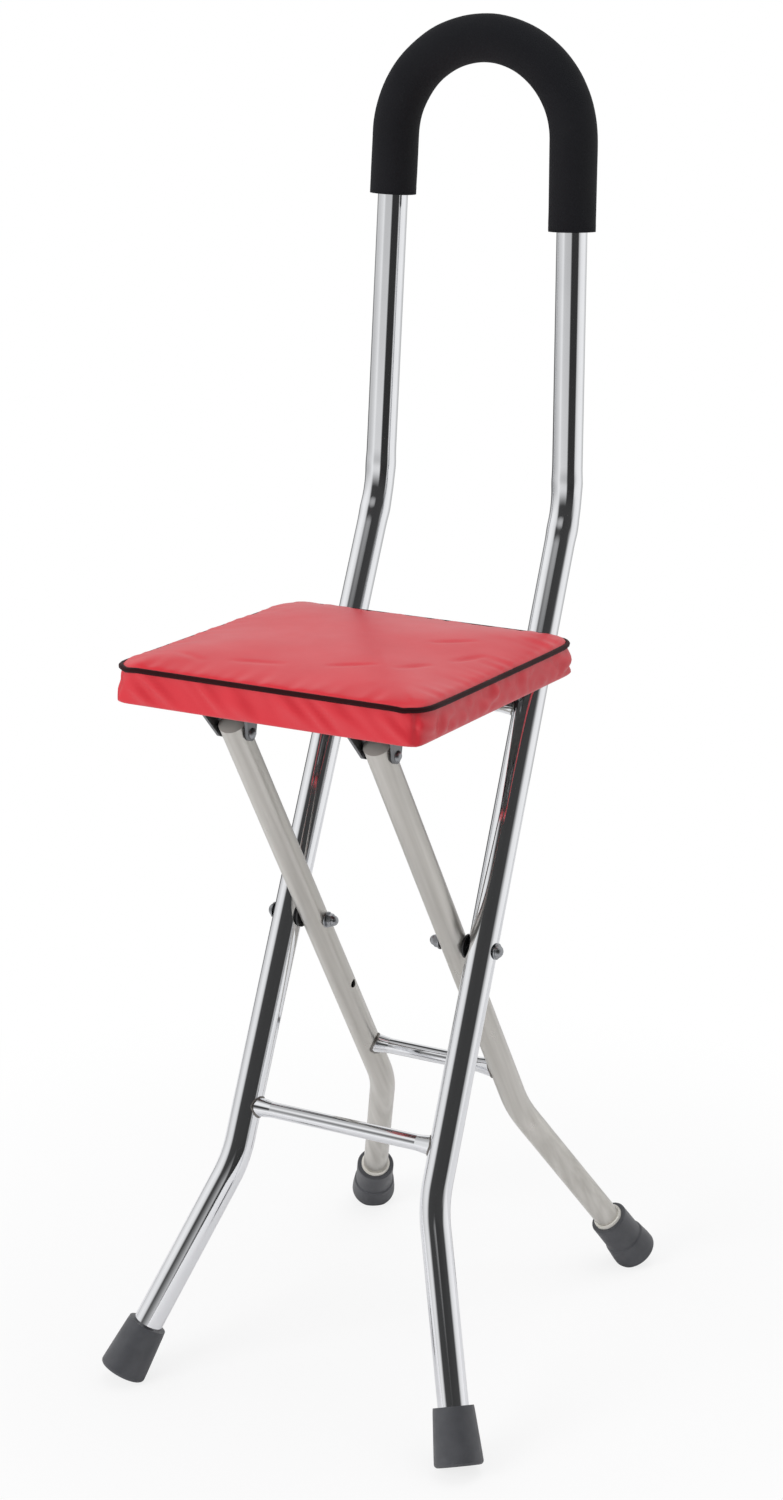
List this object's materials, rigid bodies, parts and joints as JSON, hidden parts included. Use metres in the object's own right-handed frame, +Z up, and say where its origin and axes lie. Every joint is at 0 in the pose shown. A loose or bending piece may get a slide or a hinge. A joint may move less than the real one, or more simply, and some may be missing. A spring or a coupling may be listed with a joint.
{
  "type": "walking stick seat",
  "caption": "Folding walking stick with a padded square seat: an arched handle frame and rear legs cross in an X and fold flat.",
  "frame": {"origin": "middle of the footprint of the whole stool, on the floor plane that the four ferrules stand on", "axes": "+Z up; -Y towards the seat's front edge, +Y towards the handle's side; X across the frame, +X on the right when seen from the seat's front"},
  "size_m": [0.2822, 0.353, 0.8807],
  "materials": {
    "polished_aluminium": "polished",
    "satin_aluminium": "satin",
    "plated_steel": "zinc plated",
    "foam_rubber": "matte",
    "ferrule_rubber": "satin",
    "black_nylon": "satin",
    "white_nylon": "satin",
    "grey_nylon": "satin",
    "plywood": "raw",
    "cushion_foam": "matte",
    "red_vinyl": "satin",
    "black_vinyl": "satin"
  },
  "bodies": {
    "main_frame": {"main_tube": "polished_aluminium", "handle_grip": "foam_rubber", "front_cross_bar": "polished_aluminium", "seat_rest_bar": "polished_aluminium", "front_ferrule_left": "ferrule_rubber", "front_ferrule_right": "ferrule_rubber", "front_ferrule_discs": "plated_steel", "pivot_bolt_left": "plated_steel", "pivot_bolt_right": "plated_steel", "pivot_washers": "plated_steel", "pivot_spacers": "black_nylon", "pivot_nuts": "plated_steel"},
    "rear_legs": {"rear_leg_left": "satin_aluminium", "rear_leg_right": "satin_aluminium", "rear_cross_bar": "satin_aluminium", "leg_top_plugs": "grey_nylon", "rear_ferrule_left": "ferrule_rubber", "rear_ferrule_right": "ferrule_rubber", "rear_ferrule_discs": "plated_steel", "rear_ferrule_sleeves": "white_nylon", "pivot_bushes": "black_nylon", "hinge_bushes": "black_nylon"},
    "seat": {"seat_board": "plywood", "seat_foam": "cushion_foam", "seat_cover_top": "red_vinyl", "seat_cover_skirt": "red_vinyl", "seat_piping": "black_vinyl", "cover_staples": "plated_steel", "hinge_bracket_left": "plated_steel", "hinge_bracket_right": "plated_steel", "hinge_pins": "plated_steel", "hinge_spacers": "black_nylon", "bracket_screws": "plated_steel", "rest_clip_left": "black_nylon", "rest_clip_right": "black_nylon", "clip_screws": "plated_steel"}
  },
  "joints": [
    {"name": "leg_fold", "type": "hinge", "parent": "main_frame", "child": "rear_legs", "pos_m": [0, -0.0213, 0.2987], "axis": [-1, 0, 0], "range_deg": [0, 50.5]},
    {"name": "seat_fold", "type": "hinge", "parent": "rear_legs", "child": "seat", "pos_m": [0, -0.1207, 0.45532], "axis": [1, 0, 0], "range_deg": [0, 114]}
  ],
  "couplings": [
    {"joint": "seat_fold", "follows": "leg_fold", "ratio": 2.25}
  ]
}
